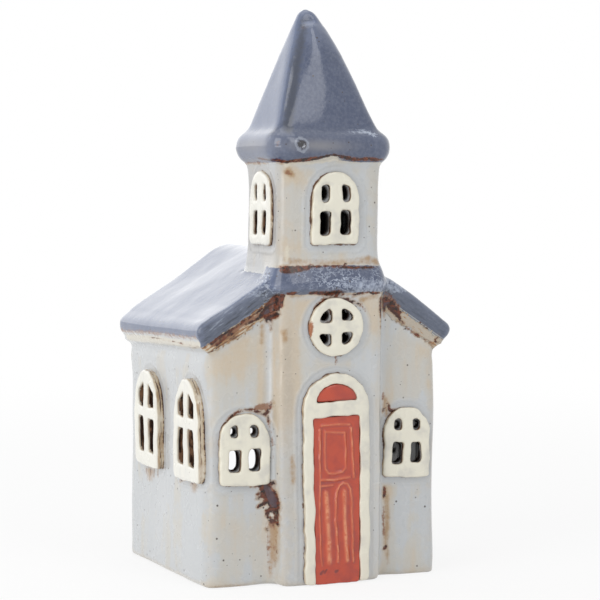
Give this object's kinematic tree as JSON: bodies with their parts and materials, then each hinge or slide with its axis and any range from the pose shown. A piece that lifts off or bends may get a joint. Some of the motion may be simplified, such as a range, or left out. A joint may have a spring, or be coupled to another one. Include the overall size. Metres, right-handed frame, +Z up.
{
  "type": "church tealight holder",
  "caption": "Glazed pottery church with a pitched roof, bell tower and spire; a tealight slides in through the back arch and shines from the window panes.",
  "frame": {"origin": "middle of the footprint's bounding box, on the surface that the holder stands on", "axes": "+Z up along the spire, -Y towards the door side, +Y out of the back arch"},
  "size_m": [0.1108, 0.1058, 0.23],
  "materials": {
    "stone_glaze": "pale grey gloss glaze with rust-brown runs and specks",
    "slate_glaze": "slate-blue gloss glaze",
    "cream_glaze": "thick cream gloss glaze",
    "red_glaze": "brick-red gloss glaze, orange on raised lines",
    "foil": "thin pressed sheet",
    "wax": "white candle wax",
    "wick": "plaited cotton, charred at the tip"
  },
  "bodies": {
    "church": {"floor_slab": "stone_glaze", "left_wall": "stone_glaze", "right_wall": "stone_glaze", "back_wall": "stone_glaze", "front_left_wall": "stone_glaze", "front_right_wall": "stone_glaze", "tower_bay": "stone_glaze", "bell_chamber": "stone_glaze", "left_roof_slab": "slate_glaze", "right_roof_slab": "slate_glaze", "tower_skirt": "slate_glaze", "spire": "slate_glaze", "front_window_left": "cream_glaze", "front_window_right": "cream_glaze", "left_window_front": "cream_glaze", "left_window_back": "cream_glaze", "right_window_front": "cream_glaze", "right_window_back": "cream_glaze", "round_window": "cream_glaze", "bell_window_front": "cream_glaze", "bell_window_left": "cream_glaze", "bell_window_right": "cream_glaze", "door_surround": "cream_glaze", "fanlight": "red_glaze", "door_leaf": "red_glaze"},
    "tealight": {"tealight_cup": "foil", "tealight_wax": "wax", "wick_clip": "foil", "wick": "wick"}
  },
  "joints": [
    {"name": "tealight_slide", "type": "slide", "parent": "church", "child": "tealight", "axis": [0, 1, 0], "range_m": [0, 0.078]}
  ]
}
